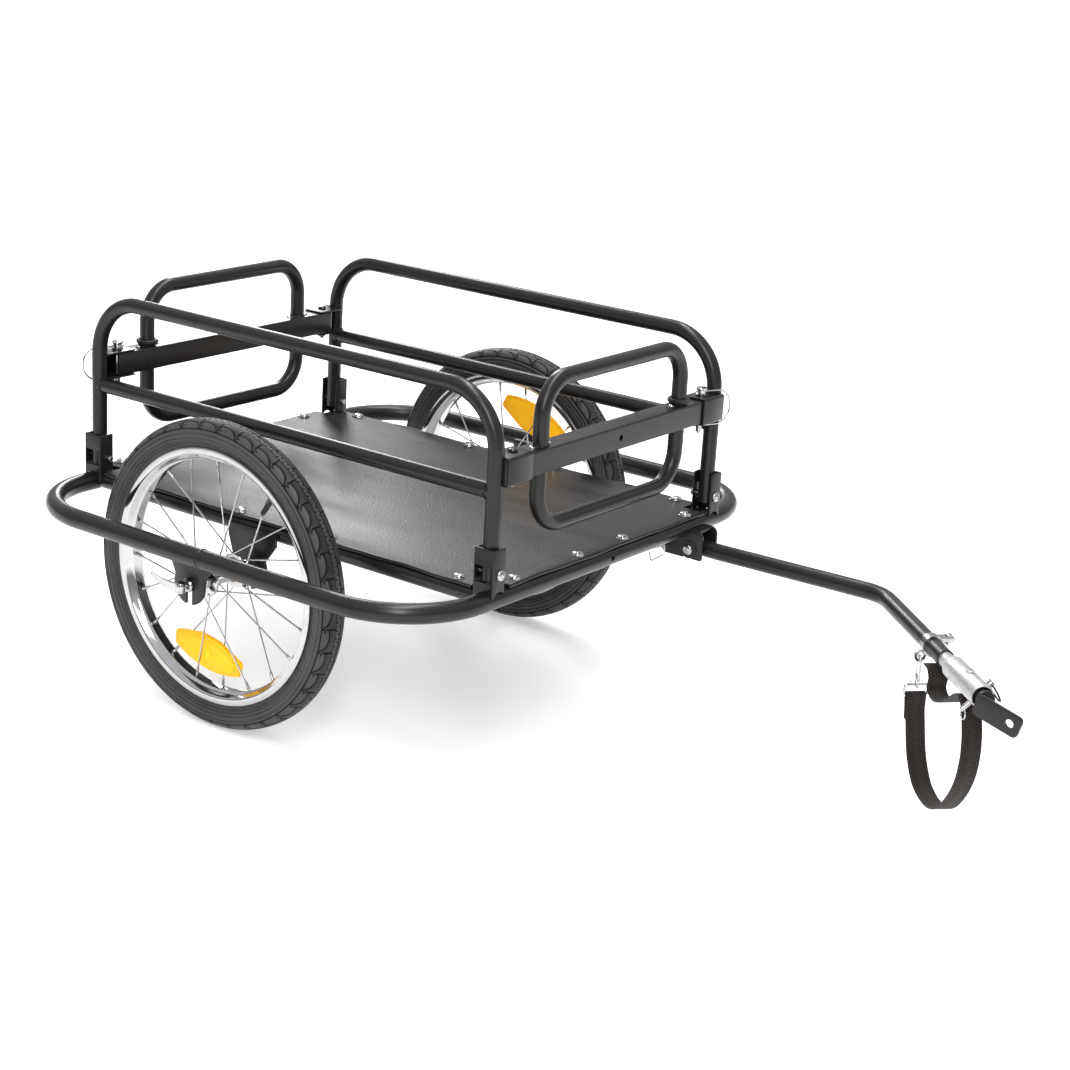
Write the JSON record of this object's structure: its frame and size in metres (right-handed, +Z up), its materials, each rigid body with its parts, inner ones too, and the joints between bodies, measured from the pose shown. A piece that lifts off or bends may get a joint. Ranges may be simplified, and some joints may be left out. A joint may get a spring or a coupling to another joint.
{
  "type": "bicycle cargo trailer",
  "caption": "Two-wheel cargo trailer for a bicycle: tube frame with wheel guards, flat deck, side hoops, pinned swing gates, cranked tow bar with rubber-jointed axle tongue and safety strap.",
  "frame": {"origin": "on the ground under the middle of the trailer's length, on its middle line", "axes": "+X forward, towards the tow hitch; +Y to the trailer's left; +Z up"},
  "size_m": [1.2857, 0.7734, 0.508],
  "materials": {
    "frame_paint": "satin powder coat",
    "deck_panel": "fine grained",
    "zinc": "zinc plated",
    "chrome": "bright",
    "sleeve_silver": "satin",
    "reflector_lens": "prismatic",
    "tyre": "matt",
    "black_rubber": "matt",
    "webbing": "woven"
  },
  "bodies": {
    "chassis": {"frame_ring": "frame_paint", "deck_rail_left": "frame_paint", "deck_rail_right": "frame_paint", "inner_dropout_left": "frame_paint", "inner_dropout_right": "frame_paint", "outer_dropout_left": "frame_paint", "outer_dropout_right": "frame_paint", "hoop_left": "frame_paint", "hoop_right": "frame_paint", "socket_front_left": "frame_paint", "socket_front_right": "frame_paint", "socket_rear_left": "frame_paint", "socket_rear_right": "frame_paint", "tow_bracket": "frame_paint", "deck_board": "deck_panel", "pivot_bolt_front_left": "zinc", "pivot_bolt_front_right": "zinc", "pivot_bolt_rear_left": "zinc", "pivot_bolt_rear_right": "zinc", "axle_left": "zinc", "axle_right": "zinc", "tow_pin": "zinc", "gate_bolt_front": "zinc", "gate_bolt_rear": "zinc", "tow_pin_clip": "chrome"},
    "wheel_left": {"tyre_left": "tyre", "rim_left": "chrome", "hub_spokes_left": "chrome", "reflector_left": "reflector_lens", "valve_left": "black_rubber"},
    "wheel_right": {"tyre_right": "tyre", "rim_right": "chrome", "hub_spokes_right": "chrome", "reflector_right": "reflector_lens", "valve_right": "black_rubber"},
    "release_left": {"release_lever_left": "chrome"},
    "release_right": {"release_lever_right": "chrome"},
    "gate_front": {"gate_front": "frame_paint"},
    "lock_front": {"lock_pin_front": "zinc"},
    "bail_front": {"lock_bail_front": "chrome"},
    "gate_rear": {"gate_rear": "frame_paint"},
    "lock_rear": {"lock_pin_rear": "zinc"},
    "bail_rear": {"lock_bail_rear": "chrome"},
    "tow_arm": {"tow_bar": "frame_paint", "tow_bolt": "zinc", "strap_clamp": "zinc", "hitch_pin": "zinc", "coupling_sleeve": "sleeve_silver", "hitch_pin_ring": "chrome", "strap_buckle": "chrome", "snap_hook": "chrome", "hitch_tether": "black_rubber", "safety_strap": "webbing"},
    "hitch": {"flex_joint": "black_rubber", "tongue_plate": "frame_paint"},
    "hook_latch": {"hook_gate": "chrome"}
  },
  "joints": [
    {"name": "wheel_left_spin", "type": "hinge", "parent": "chassis", "child": "wheel_left", "pos_m": [-0.33329, 0.2986, 0.2], "axis": [0, 1, 0], "continuous": true},
    {"name": "wheel_right_spin", "type": "hinge", "parent": "chassis", "child": "wheel_right", "pos_m": [-0.33329, -0.2986, 0.2], "axis": [0, 1, 0], "continuous": true},
    {"name": "release_left_swing", "type": "hinge", "parent": "chassis", "child": "release_left", "pos_m": [-0.33329, 0.3675, 0.2], "axis": [0, 0, -1], "range_deg": [0, 170]},
    {"name": "release_right_swing", "type": "hinge", "parent": "chassis", "child": "release_right", "pos_m": [-0.33329, -0.3675, 0.2], "axis": [0, 0, 1], "range_deg": [0, 170]},
    {"name": "gate_front_swing", "type": "hinge", "parent": "chassis", "child": "gate_front", "pos_m": [0.04071, -0.202, 0.405], "axis": [0, 0, 1], "range_deg": [0, 90]},
    {"name": "lock_pin_front_lift", "type": "slide", "parent": "chassis", "child": "lock_front", "axis": [0, 0, 1], "range_m": [0, 0.04]},
    {"name": "bail_front_swing", "type": "hinge", "parent": "lock_front", "child": "bail_front", "pos_m": [0.04071, 0.202, 0.4276], "axis": [-0.3742, -0.9274, 0], "range_deg": [0, 176]},
    {"name": "gate_rear_swing", "type": "hinge", "parent": "chassis", "child": "gate_rear", "pos_m": [-0.62379, 0.202, 0.405], "axis": [0, 0, 1], "range_deg": [0, 90]},
    {"name": "lock_pin_rear_lift", "type": "slide", "parent": "chassis", "child": "lock_rear", "axis": [0, 0, 1], "range_m": [0, 0.04]},
    {"name": "bail_rear_swing", "type": "hinge", "parent": "lock_rear", "child": "bail_rear", "pos_m": [-0.62379, -0.202, 0.4276], "axis": [0.3742, 0.9274, 0], "range_deg": [0, 176]},
    {"name": "tow_arm_fold", "type": "hinge", "parent": "chassis", "child": "tow_arm", "pos_m": [0.02371, 0.195, 0.221], "axis": [0, 1, 0], "range_deg": [0, 90]},
    {"name": "hitch_flex", "type": "hinge", "parent": "tow_arm", "child": "hitch", "pos_m": [0.57497, -0.02147, 0.221], "axis": [0, 0, 1], "range_deg": [-15, 15], "stiffness_Nm_per_rad": 12},
    {"name": "hook_latch_swing", "type": "hinge", "parent": "tow_arm", "child": "hook_latch", "pos_m": [0.44379, 0.08819, 0.17856], "axis": [0.6925, 0.704, 0.1578], "range_deg": [0, 20], "stiffness_Nm_per_rad": 0.02}
  ],
  "couplings": [
    {"joint": "bail_front_swing", "follows": "lock_pin_front_lift", "rad_per_m": 76.7},
    {"joint": "bail_rear_swing", "follows": "lock_pin_rear_lift", "rad_per_m": 76.7}
  ]
}
